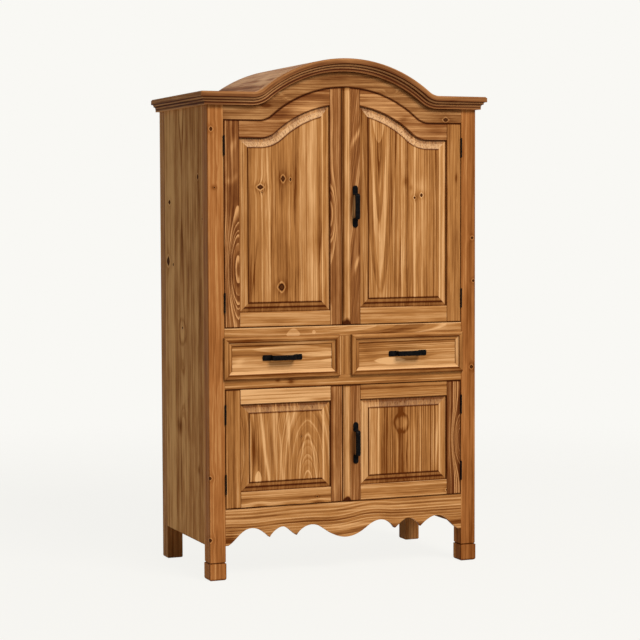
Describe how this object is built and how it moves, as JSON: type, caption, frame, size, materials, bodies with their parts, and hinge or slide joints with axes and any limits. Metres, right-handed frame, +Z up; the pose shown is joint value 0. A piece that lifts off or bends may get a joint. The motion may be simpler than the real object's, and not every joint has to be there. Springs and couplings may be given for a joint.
{
  "type": "trastero cabinet",
  "caption": "Tall pine cupboard with an arched crown, raised-panel doors above and below, drawers across the waist, and a scalloped apron between block-footed posts.",
  "frame": {"origin": "centre of the cupboard's outline on the floor, between the front of the crown and the back of the rear feet", "axes": "+X to the right seen from the front, +Y from the doors to the back, +Z up"},
  "size_m": [1.22, 0.635, 2.03],
  "materials": {
    "post_pine": "stained and waxed pine, satin",
    "side_pine": "stained and waxed pine boards, satin",
    "rail_pine": "stained and waxed pine, satin",
    "crown_pine": "stained and waxed pine moulding, dark wax in its grooves",
    "roof_pine": "stained pine boards, dull",
    "door_pine": "stained and waxed pine, satin",
    "panel_pine": "stained and waxed pine, dark wax round the raised field",
    "drawer_pine": "stained and waxed pine, satin",
    "inside_pine": "plain planed pine",
    "forged_iron": "black forged iron, dull",
    "hinge_iron": "blackened iron, dull"
  },
  "bodies": {
    "cupboard_case": {"post_front_left": "post_pine", "post_front_right": "post_pine", "post_rear_left": "post_pine", "post_rear_right": "post_pine", "side_panel_left": "side_pine", "side_panel_right": "side_pine", "back_panel": "inside_pine", "back_rails": "inside_pine", "header_rail": "rail_pine", "rail_above_drawers": "rail_pine", "rail_below_drawers": "rail_pine", "drawer_divider": "rail_pine", "apron": "rail_pine", "crown_front": "crown_pine", "crown_return_left": "crown_pine", "crown_return_right": "crown_pine", "roof_boards": "roof_pine", "upper_floor": "inside_pine", "dust_board": "inside_pine", "lower_floor": "inside_pine", "shelves": "inside_pine", "shelf_cleats": "inside_pine", "drawer_guides": "inside_pine", "door_stops": "inside_pine", "hinge_post_leaves": "hinge_iron", "hinge_pins": "hinge_iron"},
    "door_upper_left": {"door_upper_left_hinge_stile": "door_pine", "door_upper_left_meeting_stile": "door_pine", "door_upper_left_top_rail": "door_pine", "door_upper_left_bottom_rail": "door_pine", "door_upper_left_panel": "panel_pine", "door_upper_left_hinge_leaves": "hinge_iron"},
    "door_upper_right": {"door_upper_right_hinge_stile": "door_pine", "door_upper_right_meeting_stile": "door_pine", "door_upper_right_top_rail": "door_pine", "door_upper_right_bottom_rail": "door_pine", "door_upper_right_panel": "panel_pine", "door_upper_right_hinge_leaves": "hinge_iron", "door_upper_right_astragal": "door_pine", "door_upper_right_pull": "forged_iron"},
    "door_lower_left": {"door_lower_left_hinge_stile": "door_pine", "door_lower_left_meeting_stile": "door_pine", "door_lower_left_rails": "door_pine", "door_lower_left_panel": "panel_pine", "door_lower_left_hinge_leaves": "hinge_iron"},
    "door_lower_right": {"door_lower_right_hinge_stile": "door_pine", "door_lower_right_meeting_stile": "door_pine", "door_lower_right_rails": "door_pine", "door_lower_right_panel": "panel_pine", "door_lower_right_hinge_leaves": "hinge_iron", "door_lower_right_astragal": "door_pine", "door_lower_right_pull": "forged_iron"},
    "drawer_left": {"drawer_left_panel": "drawer_pine", "drawer_left_moulding": "drawer_pine", "drawer_left_box": "inside_pine", "drawer_left_pull": "forged_iron"},
    "drawer_right": {"drawer_right_panel": "drawer_pine", "drawer_right_moulding": "drawer_pine", "drawer_right_box": "inside_pine", "drawer_right_pull": "forged_iron"}
  },
  "joints": [
    {"name": "door_upper_left_hinge", "type": "hinge", "parent": "cupboard_case", "child": "door_upper_left", "pos_m": [-0.50885, -0.2863, 1.3825], "axis": [0, 0, -1], "range_deg": [0, 170]},
    {"name": "door_upper_right_hinge", "type": "hinge", "parent": "cupboard_case", "child": "door_upper_right", "pos_m": [0.50885, -0.2863, 1.3825], "axis": [0, 0, 1], "range_deg": [0, 170]},
    {"name": "door_lower_left_hinge", "type": "hinge", "parent": "cupboard_case", "child": "door_lower_left", "pos_m": [-0.50885, -0.2863, 0.50975], "axis": [0, 0, -1], "range_deg": [0, 170]},
    {"name": "door_lower_right_hinge", "type": "hinge", "parent": "cupboard_case", "child": "door_lower_right", "pos_m": [0.50885, -0.2863, 0.50975], "axis": [0, 0, 1], "range_deg": [0, 170]},
    {"name": "drawer_left_slide", "type": "slide", "parent": "cupboard_case", "child": "drawer_left", "axis": [0, -1, 0], "range_m": [0, 0.35]},
    {"name": "drawer_right_slide", "type": "slide", "parent": "cupboard_case", "child": "drawer_right", "axis": [0, -1, 0], "range_m": [0, 0.35]}
  ]
}
